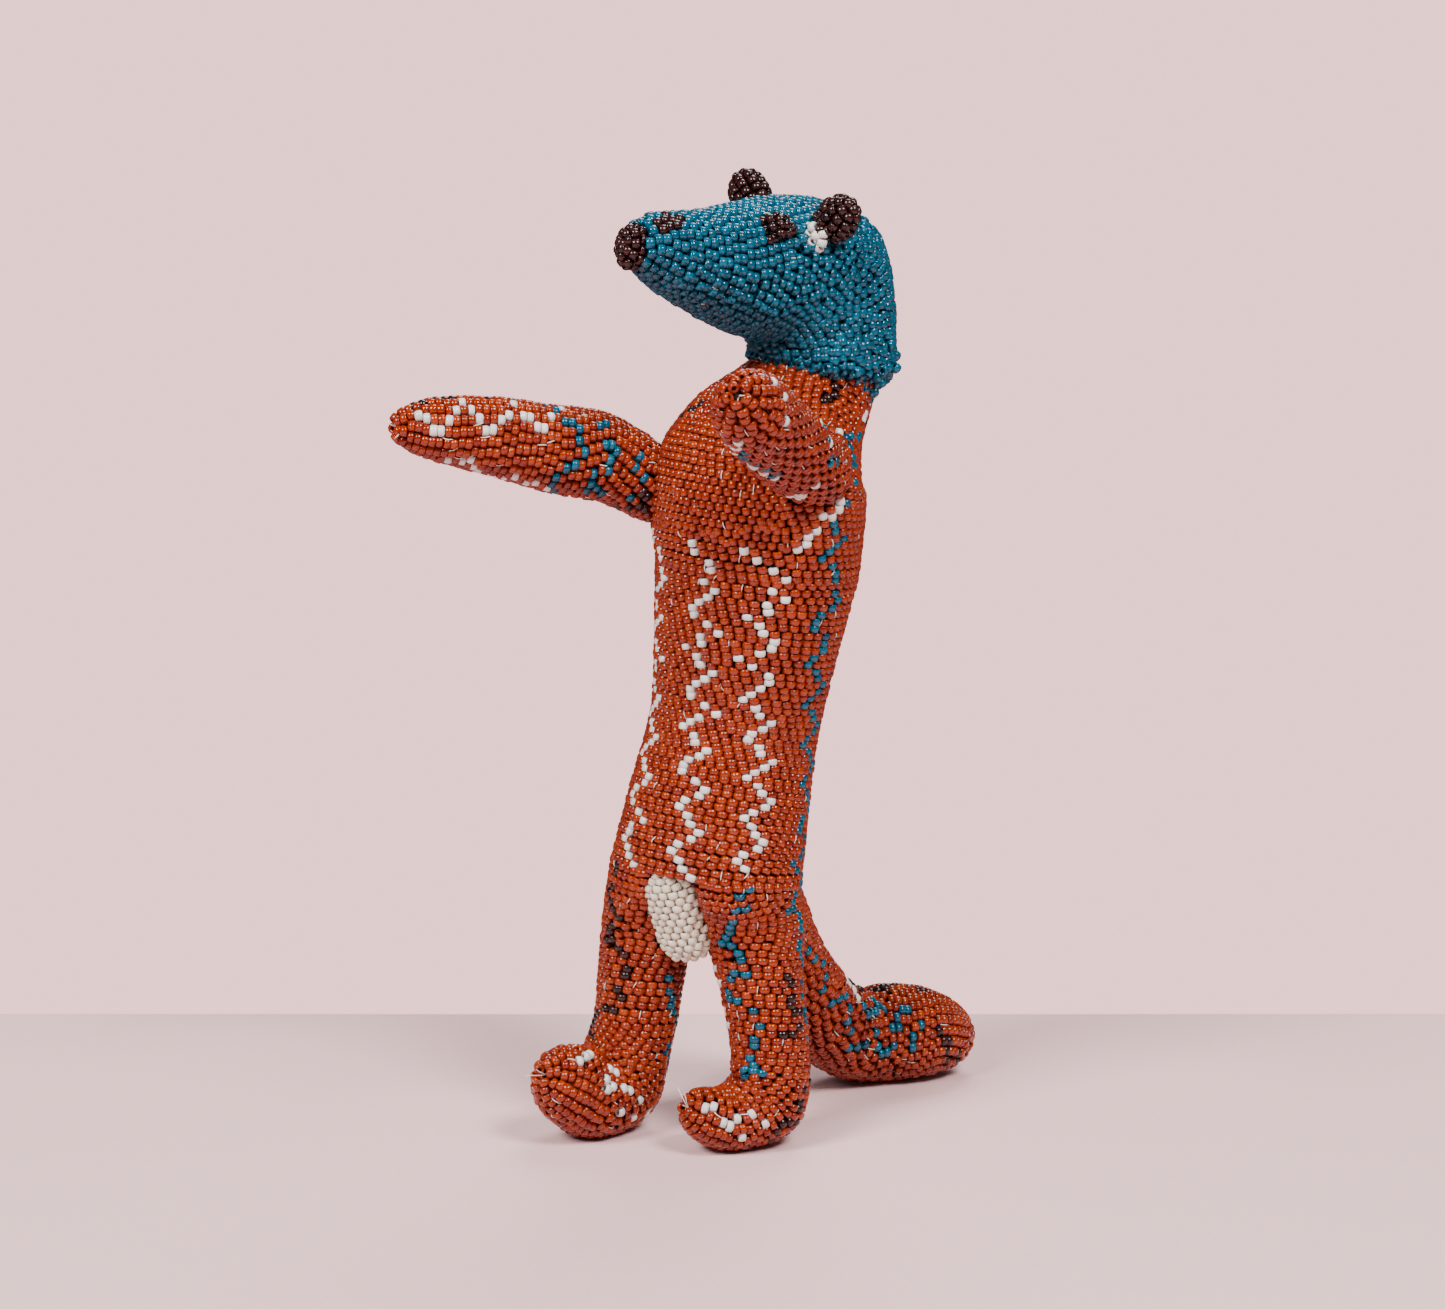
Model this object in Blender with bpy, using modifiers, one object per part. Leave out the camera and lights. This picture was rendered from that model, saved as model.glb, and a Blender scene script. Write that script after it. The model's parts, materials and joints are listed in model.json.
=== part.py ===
"""Beaded standing animal figure: glass-bead skins stitched over stuffed limbs on a bent-wire armature.

Every skin is a shell one bead thick. Under it lies a stuffing core, and a wire runs through each core.
Sizes are in millimetres and become metres where a shape is placed. The figure faces -Y, +X is its left.
"""

import math
from collections import namedtuple

import bmesh
import bpy
from mathutils import Matrix, Vector

# Driving dimensions, in millimetres and degrees.
MM = 0.001
BEAD = 2.1  # a seed bead's diameter, which is also the thickness of each skin
GAP = 0.35  # clearance between neighbouring pieces
UNDER_SKIN = BEAD + 0.9  # from a skin's outer face down to its stuffing
SEAM = 0.9  # room for the stitches between two skins that are sewn edge to edge
STRAIGHT_RIM = 2.0  # how far an open skin's rim stays straight, so that its wall ends flat
WIRE_RADIUS = 0.8
WIRE_START = 0.5  # how far inside the stuffing's end a wire begins
BODY_SIDES = 18  # flats round the torso and the head
LIMB_SIDES = 12  # flats round an arm, a leg or the tail
PAD_SIDES = 12  # flats round an ear, an eye or another small pad
STANCE_SHIFT = Vector((11.38, -6.1, 0.0))  # stands the figure's box centred on the origin

# Seams across the torso.
HIP = Vector((-4.2, 1.5, 52.0))
HIP_NORMAL = Vector((0.08, 0.10, 1.0)).normalized()
HIP_TURN = 0.0  # how far the hips are turned, towards the figure's left
HIP_SPACING = 9.75  # from the midline to the middle of a leg's top
CHEST_SEAM = 4  # the torso section that the belly skin and the shoulder skin meet at

# The collar of the hood, which turns about the neck.
RIM = Vector((10.6, 21.6, 149.4))
NECK_AXIS = Vector((0.06, 0.30, 0.95)).normalized()
COLLAR_RADIUS = 14.5
COLLAR_GAP = 0.5  # clearance between the hood and the neck inside it
NECK_INSIDE = 3.0  # how far the neck reaches up into the hood
BASE_RADIUS = 13.0  # of the head's stuffing where it meets the neck, before it is made smaller

# Where the limbs bend. Each has a ball-shaped root, which sits in a socket in the torso.
LEFT_SHOULDER = Vector((18.6, 0.8, 131.6))
RIGHT_SHOULDER = Vector((-17.0, 4.0, 126.6))
TAIL_ROOT = Vector((0.5, 17.0, 41.5))
SHOULDER_RADIUS = 7.4
TAIL_ROOT_RADIUS = 9.0
LEFT_SOCKET_RADIUS = 8.9  # roomier than the right one, because this arm lies closer to the chest
RIGHT_SOCKET_RADIUS = 8.3
TAIL_SOCKET_RADIUS = 9.5
ARM_ROOM = 0.9  # clearance beside an upper arm, where it passes the chest
ARM_SWING_ROOM = 2.4  # more of it above and below, where the arm swings

# The head's own frame: forward along the muzzle, from the middle of the skull, and up from the ground.
HEAD_FRONT = Vector((-0.42, -0.908, 0.0)).normalized()
HEAD_LEFT = Vector((0.908, -0.42, 0.0)).normalized()
RIM_FORWARD = 1.9  # how far the collar's middle lies in front of the skull's
EARS = {"left": (0.83, 0.56, 16.6), "right": (0.66, 0.75, 17.6)}  # sideways, upward, and how far out that way
THROAT_ROOM = 3.0  # how far the head's stuffing lies above the bend of the throat

# Torso sections from hips to neck: x, y, z, half width, half depth, turn.
TORSO = [
    (*HIP, 19.4, 16.2, 0),
    (-2.8, 4.8, 66.0, 17.9, 15.6, 8),
    (-1.0, 7.7, 80.6, 16.9, 15.2, 5),
    (0.9, 8.3, 95.0, 18.3, 16.2, 0),
    (2.8, 9.7, 111.0, 20.5, 17.8, -4),
    (3.2, 9.4, 126.0, 22.0, 19.2, -10),
    (5.2, 12.7, 134.5, 19.3, 17.2, -15),
    (8.0, 17.5, 141.0, 14.7, 14.0, -18),
    (9.8, 20.5, 145.8, 12.5, 12.4, -20),
]

# Leg sections from hip to toe: x, y, z, half width, half depth, turn, and pitch from straight down.
LEFT_LEG = [
    (6.4, 1.6, 43.0, 9.3, 11.8, -6, 3),
    (7.6, -0.2, 34.0, 8.9, 9.0, -16, 10),
    (10.2, -1.8, 24.0, 8.1, 8.1, -30, 8),
    (11.7, -3.0, 15.6, 7.7, 8.0, -40, 12),
    (11.4, -4.7, 9.4, 7.9, 8.6, -42, 45),
    (8.2, -8.0, 7.1, 7.8, 7.4, -42, 78),
    (5.6, -10.9, 6.2, 7.2, 6.4, -42, 94),
    (2.7, -14.1, 7.4, 6.2, 5.4, -42, 108),
    (1.2, -15.8, 8.7, 4.7, 4.3, -42, 112),
    (0.4, -16.7, 9.3, 2.9, 2.7, -42, 112),
]
LEFT_TOE = Vector((0.0, -17.2, 9.6))
RIGHT_LEG = [
    (-14.9, -0.6, 43.0, 9.2, 11.6, -4, 2),
    (-15.8, -2.8, 34.0, 8.8, 9.0, -12, 8),
    (-16.7, -4.7, 22.0, 8.4, 8.4, -20, 6),
    (-18.0, -6.0, 15.5, 8.5, 8.8, -23, 14),
    (-18.9, -7.9, 10.2, 8.6, 9.7, -23, 48),
    (-20.5, -12.0, 8.3, 8.6, 8.9, -23, 80),
    (-22.4, -16.4, 9.3, 8.5, 8.8, -23, 104),
    (-24.4, -20.8, 12.4, 7.6, 7.6, -23, 116),
    (-25.5, -23.5, 14.0, 5.5, 5.5, -23, 116),
    (-26.2, -25.0, 14.8, 3.2, 3.2, -23, 116),
]
RIGHT_TOE = Vector((-26.5, -25.8, 15.2))

# Limb sections past a ball-shaped root: x, y, z, radius.
LEFT_ARM = [
    (20.1, -11.5, 136.1, 7.9),
    (21.1, -19.6, 139.1, 7.9),
    (22.2, -28.0, 142.4, 7.8),
    (23.4, -36.0, 145.6, 7.6),
    (23.9, -40.6, 147.6, 7.1),
    (24.4, -44.5, 149.3, 5.2),
    (24.7, -46.4, 150.1, 3.0),
]
LEFT_HAND = Vector((24.8, -47.3, 150.5))
RIGHT_ARM = [
    (-21.6, -0.6, 130.6, 8.1),
    (-25.0, -4.0, 132.6, 8.7),
    (-28.6, -7.6, 133.6, 8.8),
    (-33.0, -12.0, 134.9, 8.3),
    (-37.4, -16.4, 136.5, 7.9),
    (-42.2, -21.2, 137.9, 7.2),
    (-47.0, -26.0, 138.9, 6.3),
    (-50.6, -29.6, 139.4, 4.8),
    (-52.7, -31.7, 139.5, 2.9),
]
RIGHT_HAND = Vector((-53.8, -32.8, 139.5))
TAIL = [
    (2.6, 20.8, 32.0, 8.7),
    (5.2, 26.0, 23.0, 8.8),
    (8.0, 32.5, 15.3, 9.2),
    (11.3, 39.5, 10.4, 9.6),
    (15.4, 44.5, 9.9, 10.1),
    (20.4, 48.4, 9.6, 9.8),
    (24.4, 52.2, 8.6, 8.4),
    (26.6, 55.8, 7.0, 6.2),
    (27.6, 57.7, 6.0, 3.6),
]
TAIL_TIP = Vector((28.2, 58.8, 5.4))

# Hood sections above its rim: throat side (forward, up), crown side (forward, up), and half width.
HOOD = [
    ((16.1, 155.2), (-13.5, 150.3), 14.4),
    ((17.0, 155.4), (-13.7, 158.4), 13.9),
    ((17.8, 155.5), (-13.0, 167.4), 13.6),
    ((18.8, 155.6), (-8.5, 177.0), 13.5),
    ((20.5, 155.7), (3.0, 181.4), 13.4),
    ((23.5, 156.2), (14.0, 182.3), 12.9),
    ((28.0, 158.2), (24.0, 181.3), 11.6),
    ((34.5, 161.2), (32.5, 180.2), 10.0),
    ((40.7, 164.7), (40.4, 180.2), 8.2),
    ((45.5, 168.2), (46.0, 178.9), 6.0),
    ((48.3, 170.8), (49.0, 176.9), 4.0),
]
HOOD_TIP = (50.4, 174.0)

Station = namedtuple("Station", "centre normal across wide deep")


def new_collection(name):
    made = bpy.data.collections.new(name)
    bpy.context.scene.collection.children.link(made)
    return made


def finish_of(name, colour, roughness=0.25, metallic=0.0):
    """Glossy bead glass or, with more roughness, cloth or wire."""
    made = bpy.data.materials.new(name)
    made.use_nodes = True
    shader = made.node_tree.nodes["Principled BSDF"]
    shader.inputs["Base Color"].default_value = (*colour, 1.0)
    shader.inputs["Roughness"].default_value = roughness
    shader.inputs["Metallic"].default_value = metallic
    return made


for leftover in list(bpy.data.objects):
    bpy.data.objects.remove(leftover, do_unlink=True)
FIGURE = new_collection("beaded_figure")
CUTTERS = new_collection("cutters")
ORANGE = finish_of("orange_beads", (0.60, 0.09, 0.02))
TEAL = finish_of("teal_beads", (0.01, 0.20, 0.30))
BROWN = finish_of("brown_beads", (0.06, 0.010, 0.008))
WHITE = finish_of("white_beads", (0.72, 0.69, 0.62))
WADDING = finish_of("cotton_wadding", (0.50, 0.42, 0.36), roughness=0.95)
STEEL = finish_of("armature_wire", (0.35, 0.34, 0.33), roughness=0.45, metallic=1.0)


def place(name, mesh, material, collection=FIGURE):
    """Adds a mesh, modelled in millimetres, as an object in metres at its place in the figure."""
    mesh.transform(Matrix.Scale(MM, 4) @ Matrix.Translation(STANCE_SHIFT))
    thing = bpy.data.objects.new(name, mesh)
    collection.objects.link(thing)
    if material:
        mesh.materials.append(material)
    return thing


def across_of(turn):
    """The level direction to the figure's left, for a section turned from -Y towards the left."""
    return Vector((math.cos(math.radians(turn)), math.sin(math.radians(turn)), 0.0))


def along(points, turns, radii):
    """Stations square to the path through the points. Each radius is a (half width, half depth) pair."""
    made = []
    for i, (point, turn, (wide, deep)) in enumerate(zip(points, turns, radii)):
        ahead = points[min(i + 1, len(points) - 1)] - points[max(i - 1, 0)]
        made.append(Station(point, ahead.normalized(), across_of(turn), wide, deep))
    return made


def pitched(section):
    """A leg's station, whose normal swings from straight down to forward by its pitch."""
    x, y, z, wide, deep, turn, pitch = section
    across = across_of(turn)
    forward = Vector((across.y, -across.x, 0.0))
    tilt = math.radians(pitch)
    normal = Vector((0, 0, -math.cos(tilt))) + forward * math.sin(tilt)
    return Station(Vector((x, y, z)), normal, across, wide, deep)


def smooth_between(a, b, c, d, t):
    """Catmull-Rom: a smooth value between b and c, for numbers and for vectors."""
    return 0.5 * (2 * b + (c - a) * t + (2 * a - 5 * b + 4 * c - d) * t * t + (3 * b - a - 3 * c + d) * t**3)


def smoothed(stations, steps=2):
    """The stations with steps - 1 more between each two, on a smooth curve through them."""
    ends = [stations[0], *stations, stations[-1]]
    made = []
    for a, b, c, d in zip(ends, ends[1:], ends[2:], ends[3:]):
        for k in range(steps):
            made.append(Station(*(smooth_between(*values, k / steps) for values in zip(a, b, c, d))))
    return [*made, stations[-1]]


def moved(station, by):
    """The station slid along its own normal."""
    return station._replace(centre=station.centre + station.normal.normalized() * by)


def inset(stations, by):
    """Every section made smaller, and smaller still where the sleeve flares, as its wall leans there."""
    made = []
    for before, here, after in zip([stations[0], *stations], stations, [*stations[1:], stations[-1]]):
        run = (after.centre - before.centre).length
        rise = max(abs(after.wide - before.wide), abs(after.deep - before.deep))
        slope = by * math.hypot(run, rise) / run
        made.append(here._replace(wide=max(here.wide - slope, 1.0), deep=max(here.deep - slope, 1.0)))
    return made


def add_ring(bm, station, sides):
    """One elliptic section: a circle turned and stretched to its station. Returns its edges."""
    normal = station.normal.normalized()
    across = (station.across - station.across.dot(normal) * normal).normalized()
    turn = Matrix((across * station.wide, normal.cross(across) * station.deep, normal)).transposed().to_4x4()
    matrix = Matrix.Translation(station.centre) @ turn
    points = set(bmesh.ops.create_circle(bm, segments=sides, radius=1.0, matrix=matrix)["verts"])
    return [edge for edge in bm.edges if set(edge.verts) <= points]


def sleeve_mesh(stations, sides, tip=None, open_start=False, open_end=False):
    """A tube of sections joined one to the next. A tip is the point that its far end closes to."""
    bm = bmesh.new()
    rings = [add_ring(bm, station, sides) for station in stations]
    for edges, following in zip(rings, rings[1:]):
        bmesh.ops.bridge_loops(bm, edges=edges + following)
    first, last = (bmesh.ops.contextual_create(bm, geom=rings[end])["faces"] for end in (0, -1))
    if tip is not None:
        bmesh.ops.poke(bm, faces=last)["verts"][0].co = tip
    bmesh.ops.recalc_face_normals(bm, faces=bm.faces)
    openings = (first if open_start else []) + (last if open_end else [])
    bmesh.ops.delete(bm, geom=openings, context="FACES_ONLY")
    mesh = bpy.data.meshes.new("sleeve")
    bm.to_mesh(mesh)
    bm.free()
    mesh.shade_smooth()
    return mesh


def add_skin(name, stations, material, sides, tip=None):
    """A beaded skin: an open sleeve, thickened inwards by one bead."""
    thing = place(name, sleeve_mesh(stations, sides, tip, open_start=True, open_end=tip is None), material)
    shell = thing.modifiers.new("one_bead_thick", "SOLIDIFY")
    shell.thickness = BEAD * MM
    shell.offset = -1.0
    return thing


def add_stuffing(name, stations, sides, tip=None):
    """The stuffing under a skin, clear of the skin's inner wall all round."""
    return place(name, sleeve_mesh(inset(stations, UNDER_SKIN), sides, tip), WADDING)


def tube_mesh(points, radius):
    """A round wire through the points, as a closed mesh."""
    curve = bpy.data.curves.new("wire", "CURVE")
    curve.dimensions = "3D"
    curve.bevel_depth = radius
    curve.bevel_resolution = 2
    curve.use_fill_caps = True
    line = curve.splines.new("POLY")
    line.points.add(len(points) - 1)
    for spot, point in zip(line.points, points):
        spot.co = (*point, 1.0)
    holder = bpy.data.objects.new("wire", curve)
    CUTTERS.objects.link(holder)
    bpy.context.view_layer.update()
    mesh = bpy.data.meshes.new_from_object(holder.evaluated_get(bpy.context.evaluated_depsgraph_get()))
    bpy.data.objects.remove(holder)
    bm = bmesh.new()
    bm.from_mesh(mesh)
    bmesh.ops.remove_doubles(bm, verts=bm.verts, dist=MM)
    bmesh.ops.recalc_face_normals(bm, faces=bm.faces)
    bm.to_mesh(mesh)
    bm.free()
    mesh.materials.clear()
    return mesh


def ball_mesh(centre, radius):
    bm = bmesh.new()
    matrix = Matrix.Translation(centre)
    bmesh.ops.create_uvsphere(bm, u_segments=20, v_segments=12, radius=radius, matrix=matrix)
    mesh = bpy.data.meshes.new("ball")
    bm.to_mesh(mesh)
    bm.free()
    return mesh


def pad_mesh(centre, axes, half_sizes, swell=0.0):
    """An egg shape: a sphere stretched along three axes, each half size larger by the swell."""
    bm = bmesh.new()
    bmesh.ops.create_uvsphere(bm, u_segments=PAD_SIDES, v_segments=PAD_SIDES // 2, radius=1.0)
    columns = [axis.normalized() * (size + swell) for axis, size in zip(axes, half_sizes)]
    stretch = Matrix(columns).transposed().to_4x4()
    bmesh.ops.transform(bm, matrix=Matrix.Translation(centre) @ stretch, verts=bm.verts)
    bmesh.ops.recalc_face_normals(bm, faces=bm.faces)
    mesh = bpy.data.meshes.new("pad")
    bm.to_mesh(mesh)
    bm.free()
    mesh.shade_smooth()
    return mesh


def floor_mesh():
    """A block whose top is the surface that the figure stands on."""
    bm = bmesh.new()
    bmesh.ops.create_cube(bm, size=1.0)
    stretch = Matrix.Translation((0, 20, -10)) @ Matrix.Diagonal((120, 160, 20, 1))
    bmesh.ops.transform(bm, matrix=stretch, verts=bm.verts)
    mesh = bpy.data.meshes.new("floor")
    bm.to_mesh(mesh)
    bm.free()
    return mesh


def add_cutter(name, mesh):
    """A helper that only cuts: it is no piece of the figure."""
    thing = place(name, mesh, None, CUTTERS)
    thing.hide_render = True
    thing.display_type = "WIRE"
    return thing


def cut(things, tool):
    for thing in things:
        bite = thing.modifiers.new(f"clear_{tool.name}", "BOOLEAN")
        bite.operation = "DIFFERENCE"
        bite.solver = "EXACT"
        bite.object = tool


def thread_wire(name, points, stuffings):
    """A wire, and the channel that it runs through in each stuffing."""
    wire = place(name, tube_mesh(points, WIRE_RADIUS), STEEL)
    start = points[0] + (points[0] - points[1]).normalized() * 2 * GAP
    end = points[-1] + (points[-1] - points[-2]).normalized() * 2 * GAP
    channel = tube_mesh([start, *points[1:-1], end], WIRE_RADIUS + GAP)
    cut(stuffings, add_cutter(f"{name}_channel", channel))
    return wire


def add_pivot(name, point):
    """An empty on a joint's axis, which the pieces beyond the joint hang on."""
    pivot = bpy.data.objects.new(name, None)
    pivot.location = (point + STANCE_SHIFT) * MM
    FIGURE.objects.link(pivot)
    bpy.context.view_layer.update()
    return pivot


def hang(things, pivot):
    for thing in things:
        thing.parent = pivot
        thing.matrix_parent_inverse = pivot.matrix_world.inverted()


def hood_point(forward, up, left=0.0):
    """A point given in the head's own frame."""
    return Vector((RIM.x, RIM.y, up)) + HEAD_FRONT * (forward - RIM_FORWARD) + HEAD_LEFT * left


def torso_stations():
    points = [Vector(section[:3]) for section in TORSO]
    neck = RIM - NECK_AXIS * GAP
    top = RIM + NECK_AXIS * NECK_INSIDE
    slim = COLLAR_RADIUS - BEAD - COLLAR_GAP
    stations = along([*points, neck], [*(s[5] for s in TORSO), -20], [*(s[3:5] for s in TORSO), (slim, slim)])
    stations[0] = stations[0]._replace(normal=HIP_NORMAL)
    stations[-1] = stations[-1]._replace(normal=NECK_AXIS)
    return [*smoothed(stations), stations[-1]._replace(centre=top)]


def make_torso():
    """The belly skin, the shoulder skin with the neck, and the stuffing inside both."""
    stations = torso_stations()
    seam = 2 * CHEST_SEAM
    lower = [*stations[:seam], moved(stations[seam], -SEAM / 2)]
    upper = [moved(stations[seam], SEAM / 2), *stations[seam + 1 :]]
    belly = add_skin("belly_skin", lower, ORANGE, BODY_SIDES)
    shoulders = add_skin("shoulder_skin", upper, ORANGE, BODY_SIDES)
    stuffing = add_stuffing("torso_stuffing", stations, BODY_SIDES)
    return belly, shoulders, stuffing


def make_leg(side, sections, toe, direction):
    """One leg with its foot. Its top is flat against the hip seam."""
    across = HIP_NORMAL.cross(across_of(HIP_TURN)).cross(HIP_NORMAL)
    top = HIP - HIP_NORMAL * SEAM + across * HIP_SPACING * direction
    start = Station(top, -HIP_NORMAL, across, HIP_SPACING - 0.3, 15.4)
    stations = [start, moved(start, STRAIGHT_RIM), *(pitched(section) for section in sections)]
    skin = add_skin(f"{side}_leg_skin", stations, ORANGE, LIMB_SIDES, toe)
    stuffing = add_stuffing(f"{side}_leg_stuffing", stations[:-3], LIMB_SIDES, stations[-3].centre)
    return skin, stuffing, stations


def make_limb(name, root, root_radius, sections, tip, turn):
    """A limb that swings on its ball-shaped root: its skin, its stuffing and the wire inside them."""
    start = (Vector(sections[0][:3]) - root).normalized()
    ball = [root + start * root_radius * share for share in (-0.72, -0.40, 0.0)]
    points = [*ball, *(Vector(section[:3]) for section in sections)]
    swells = [0.70 * root_radius, 0.92 * root_radius, root_radius, *(section[3] for section in sections)]
    stations = along(points, [turn] * len(points), [(radius, radius) for radius in swells])
    skin = add_skin(f"{name}_skin", stations, ORANGE, LIMB_SIDES, tip)
    stuffing = add_stuffing(f"{name}_stuffing", stations[:-2], LIMB_SIDES, points[-2])
    wire = thread_wire(f"{name}_wire", [points[0] + start * WIRE_START, *points[3:-3]], [stuffing])
    hang([skin, stuffing, wire], add_pivot(f"{name}_pivot", root))
    return skin


def hood_stations(throat_lift=0.0):
    rim = Station(RIM, NECK_AXIS, HEAD_LEFT, COLLAR_RADIUS, COLLAR_RADIUS)
    stations = [rim, moved(rim, STRAIGHT_RIM)]
    for throat, crown, wide in HOOD:
        low, high = hood_point(throat[0], throat[1] + throat_lift), hood_point(*crown)
        normal = HEAD_LEFT.cross(low - high).normalized()
        stations.append(Station((low + high) / 2, normal, HEAD_LEFT, wide, (high - low).length / 2))
    return stations


def add_pad(name, material, centre, axes, half_sizes, things=()):
    """A small cluster of beads, bedded in the pieces under it."""
    pad = place(name, pad_mesh(centre, axes, half_sizes), material)
    if things:
        cut(things, add_cutter(f"{name}_bed", pad_mesh(centre, axes, half_sizes, swell=GAP)))
    return pad


def make_head():
    """The hood, its stuffing and wire, and the nose, eyes and ears that are sewn on it."""
    stations = hood_stations()
    hood = add_skin("head_hood", stations, TEAL, BODY_SIDES, hood_point(*HOOD_TIP))
    base = moved(stations[0], NECK_INSIDE + GAP)._replace(wide=BASE_RADIUS, deep=BASE_RADIUS)
    inner = [base, *hood_stations(THROAT_ROOM)[4:-1]]
    stuffing = add_stuffing("head_stuffing", inner, BODY_SIDES, stations[-1].centre)
    path = [(2.9, 162.0), (8.5, 167.0), (20, 168.8), (33, 170.4), (41, 172.2)]
    bends = [moved(base, WIRE_START).centre, *(hood_point(*spot) for spot in path)]
    wire = thread_wire("head_wire", bends, [stuffing])
    forward_up = (HEAD_FRONT + Vector((0, 0, 0.2))).normalized()
    up = forward_up.cross(HEAD_LEFT).normalized()
    up = up if up.z > 0 else -up
    nose_centre = hood_point(48.2, 173.8)
    pieces = [hood, stuffing, wire]
    nose_axes = (HEAD_LEFT, up, forward_up)
    pieces.append(add_pad("nose_beads", BROWN, nose_centre, nose_axes, (3.7, 4.6, 2.5), [hood, stuffing]))
    for side, direction in (("left", 1), ("right", -1)):
        sideways = HEAD_LEFT * direction
        out = (sideways * 0.80 + Vector((0, 0, 0.60))).normalized()
        eye = hood_point(21.0, 169.6) + out * 12.3
        back = out.cross(HEAD_FRONT)
        pieces.append(add_pad(f"{side}_eye", BROWN, eye, (HEAD_FRONT, back, out), (3.0, 2.8, 1.5), [hood]))
        lateral, upward, reach = EARS[side]
        out = (sideways * lateral + Vector((0, 0, upward)) - HEAD_FRONT * 0.05).normalized()
        ear_centre = hood_point(10.6, 169.0) + out * reach
        along_ear = (HEAD_FRONT - out * HEAD_FRONT.dot(out)).normalized()
        ear_axes = (along_ear, out.cross(along_ear), out)
        ear = add_pad(f"{side}_ear", BROWN, ear_centre, ear_axes, (3.8, 4.2, 4.8), [hood])
        lining_centre = ear_centre + along_ear * 3.8 - out * 2.4
        lining = add_pad(f"{side}_ear_lining", WHITE, lining_centre, ear_axes, (1.5, 3.0, 2.6), [hood])
        cut([lining], bpy.data.objects[f"{side}_ear_bed"])
        pieces += [ear, lining]
    hang(pieces, add_pivot("neck_pivot", RIM))


def main():
    belly, shoulders, torso_stuffing = make_torso()
    left_skin, left_stuffing, left_stations = make_leg("left", LEFT_LEG, LEFT_TOE, 1)
    right_skin, right_stuffing, right_stations = make_leg("right", RIGHT_LEG, RIGHT_TOE, -1)
    tail_skin = make_limb("tail", TAIL_ROOT, TAIL_ROOT_RADIUS, TAIL, TAIL_TIP, -25)
    make_limb("left_arm", LEFT_SHOULDER, SHOULDER_RADIUS, LEFT_ARM, LEFT_HAND, 5)
    make_limb("right_arm", RIGHT_SHOULDER, SHOULDER_RADIUS, RIGHT_ARM, RIGHT_HAND, -45)
    make_head()

    # The spine wire, the leg wires that run up beside it, and the yoke between the arms' sockets.
    spine = [Vector(section[:3]) for section in TORSO[:-1]] + [RIM + NECK_AXIS * (NECK_INSIDE - 1.0)]
    thread_wire("spine_wire", spine, [torso_stuffing])
    for side, stations, stuffing in (
        ("left", left_stations, left_stuffing),
        ("right", right_stations, right_stuffing),
    ):
        path = [s.centre for s in stations[:-4]]
        path.insert(0, path[0].lerp(Vector(TORSO[1][:3]), 0.6) + HIP_NORMAL * 6)
        thread_wire(f"{side}_leg_wire", path, [stuffing, torso_stuffing])
    inward = (RIGHT_SHOULDER - LEFT_SHOULDER).normalized()
    past_spine = Vector((3.4, 6.6, 129.0))
    left_end = LEFT_SHOULDER + inward * (LEFT_SOCKET_RADIUS + WIRE_START)
    right_end = RIGHT_SHOULDER - inward * (RIGHT_SOCKET_RADIUS + WIRE_START)
    thread_wire("shoulder_wire", [left_end, past_spine, right_end], [torso_stuffing])

    # Sockets for the limbs' roots, the groin patch, and flat soles.
    for side, root, radius, section in (
        ("left", LEFT_SHOULDER, LEFT_SOCKET_RADIUS, LEFT_ARM[0]),
        ("right", RIGHT_SHOULDER, RIGHT_SOCKET_RADIUS, RIGHT_ARM[0]),
    ):
        cut([shoulders, torso_stuffing], add_cutter(f"{side}_socket", ball_mesh(root, radius)))
        reach = section[3] + ARM_ROOM
        level = (Vector((1, 0, 0)), Vector((0, 1, 0)), Vector((0, 0, 1)))
        middle = root.lerp(Vector(section[:3]), 0.55)
        room = pad_mesh(middle, level, (reach, reach, reach + ARM_SWING_ROOM))
        cut([shoulders, torso_stuffing], add_cutter(f"{side}_arm_room", room))
    rump = [belly, torso_stuffing, left_skin, left_stuffing, right_skin, right_stuffing]
    cut(rump, add_cutter("tail_socket", ball_mesh(TAIL_ROOT, TAIL_SOCKET_RADIUS)))
    across = across_of(HIP_TURN)
    forward = Vector((across.y, -across.x, 0.0))
    groin_up = (Vector((0, 0, 1)) + forward * 0.34 - across * 0.16).normalized()
    groin_centre = HIP + forward * 10.4 - across * 2.2 - Vector((0, 0, 8.0))
    groin_axes = (across, groin_up.cross(across), groin_up)
    legs = [left_skin, left_stuffing, right_skin, right_stuffing]
    add_pad("groin_patch", WHITE, groin_centre, groin_axes, (4.6, 4.2, 9.6), legs)
    cut([left_skin, right_skin, tail_skin], add_cutter("floor", floor_mesh()))


main()
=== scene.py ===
import json
import math

import bmesh
import bpy
import numpy as np
from mathutils import Matrix, Vector
from mathutils.bvhtree import BVHTree
from mathutils.kdtree import KDTree

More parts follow.
